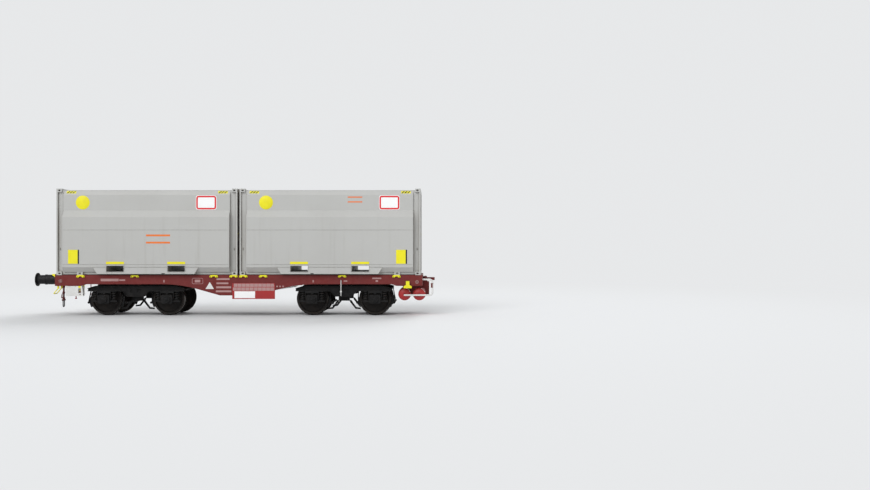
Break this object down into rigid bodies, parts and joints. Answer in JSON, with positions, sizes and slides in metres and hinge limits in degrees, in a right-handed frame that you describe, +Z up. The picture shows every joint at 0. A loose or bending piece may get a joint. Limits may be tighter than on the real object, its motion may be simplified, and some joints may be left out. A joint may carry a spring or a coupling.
{
  "type": "flatcar with container",
  "caption": "Four-axle container flatcar with fish-bellied sills on two bogies, carrying two open-top bulk containers with bulged sides.",
  "frame": {"origin": "on the centreline at rail-top level, midway between the buffer faces and the drawbar eye", "axes": "+X along the car from the buffer end towards the drawbar end, +Y to the side away from the sign board, +Z up"},
  "size_m": [13.45, 2.736, 4.274],
  "materials": {
    "container_paint": "semi-gloss light warm grey paint",
    "oxide_paint": "matt red-brown oxide paint",
    "bogie_paint": "matt near-black paint",
    "wheel_steel": "bare rolled steel, dark, bright on the tread",
    "spring_steel": "black painted coil steel",
    "yellow_paint": "gloss lemon yellow",
    "white_paint": "gloss white",
    "bright_red_paint": "semi-gloss bright red",
    "buffer_paint": "black, greased on the head",
    "coupling_steel": "dark forged steel"
  },
  "bodies": {
    "car": {"air_reservoirs": "bright_red_paint", "bolsters": "oxide_paint", "brake_pipes": "white_paint", "buffer_far": "buffer_paint", "buffer_near": "buffer_paint", "changeover_box": "white_paint", "container_1_cross_members": "container_paint", "container_1_end_walls": "container_paint", "container_1_floor": "container_paint", "container_1_fork_pockets": "container_paint", "container_1_side_far": "container_paint", "container_1_side_near": "container_paint", "container_2_cross_members": "container_paint", "container_2_end_walls": "container_paint", "container_2_floor": "container_paint", "container_2_fork_pockets": "container_paint", "container_2_side_far": "container_paint", "container_2_side_near": "container_paint", "container_brackets": "yellow_paint", "container_spigots": "oxide_paint", "corner_step": "white_paint", "crossbearers": "oxide_paint", "draft_sills": "oxide_paint", "draw_hook": "coupling_steel", "drawbar_clevis": "oxide_paint", "end_panel": "oxide_paint", "hand_bars": "yellow_paint", "handrail": "yellow_paint", "headstock_inner": "oxide_paint", "headstock_outer": "oxide_paint", "lifting_brackets": "yellow_paint", "load_valve_rods": "white_paint", "release_bars": "bright_red_paint", "reservoir_carrier": "oxide_paint", "screw_coupling": "coupling_steel", "side_sill_far": "oxide_paint", "side_sill_near": "oxide_paint", "sign_board": "bright_red_paint"},
    "drawbar": {"drawbar": "oxide_paint"},
    "bogie_1": {"bogie_1_axleboxes": "bogie_paint", "bogie_1_brakes": "bogie_paint", "bogie_1_end_beams": "bogie_paint", "bogie_1_side_frames": "bogie_paint", "bogie_1_springs": "spring_steel", "bogie_1_transom": "bogie_paint"},
    "bogie_2": {"bogie_2_axleboxes": "bogie_paint", "bogie_2_brakes": "bogie_paint", "bogie_2_end_beams": "bogie_paint", "bogie_2_side_frames": "bogie_paint", "bogie_2_springs": "spring_steel", "bogie_2_transom": "bogie_paint"},
    "wheelset_1": {"wheelset_1_axle": "wheel_steel", "wheelset_1_wheels": "wheel_steel"},
    "wheelset_2": {"wheelset_2_axle": "wheel_steel", "wheelset_2_wheels": "wheel_steel"},
    "wheelset_3": {"wheelset_3_axle": "wheel_steel", "wheelset_3_wheels": "wheel_steel"},
    "wheelset_4": {"wheelset_4_axle": "wheel_steel", "wheelset_4_wheels": "wheel_steel"}
  },
  "joints": [
    {"name": "bogie_1_yaw", "type": "hinge", "parent": "car", "child": "bogie_1", "pos_m": [-3.305, 0, 0.96], "axis": [0, 0, 1], "range_deg": [-3, 3]},
    {"name": "bogie_2_yaw", "type": "hinge", "parent": "car", "child": "bogie_2", "pos_m": [3.695, 0, 0.96], "axis": [0, 0, 1], "range_deg": [-3, 3]},
    {"name": "wheelset_1_roll", "type": "hinge", "parent": "bogie_1", "child": "wheelset_1", "pos_m": [-4.365, 0, 0.535], "axis": [0, 1, 0], "continuous": true},
    {"name": "wheelset_2_roll", "type": "hinge", "parent": "bogie_1", "child": "wheelset_2", "pos_m": [-2.245, 0, 0.535], "axis": [0, 1, 0], "continuous": true},
    {"name": "wheelset_3_roll", "type": "hinge", "parent": "bogie_2", "child": "wheelset_3", "pos_m": [2.635, 0, 0.535], "axis": [0, 1, 0], "continuous": true},
    {"name": "wheelset_4_roll", "type": "hinge", "parent": "bogie_2", "child": "wheelset_4", "pos_m": [4.755, 0, 0.535], "axis": [0, 1, 0], "continuous": true},
    {"name": "drawbar_yaw", "type": "hinge", "parent": "car", "child": "drawbar", "pos_m": [6.44, 0, 1.19], "axis": [0, 0, 1], "range_deg": [-10, 10]}
  ]
}
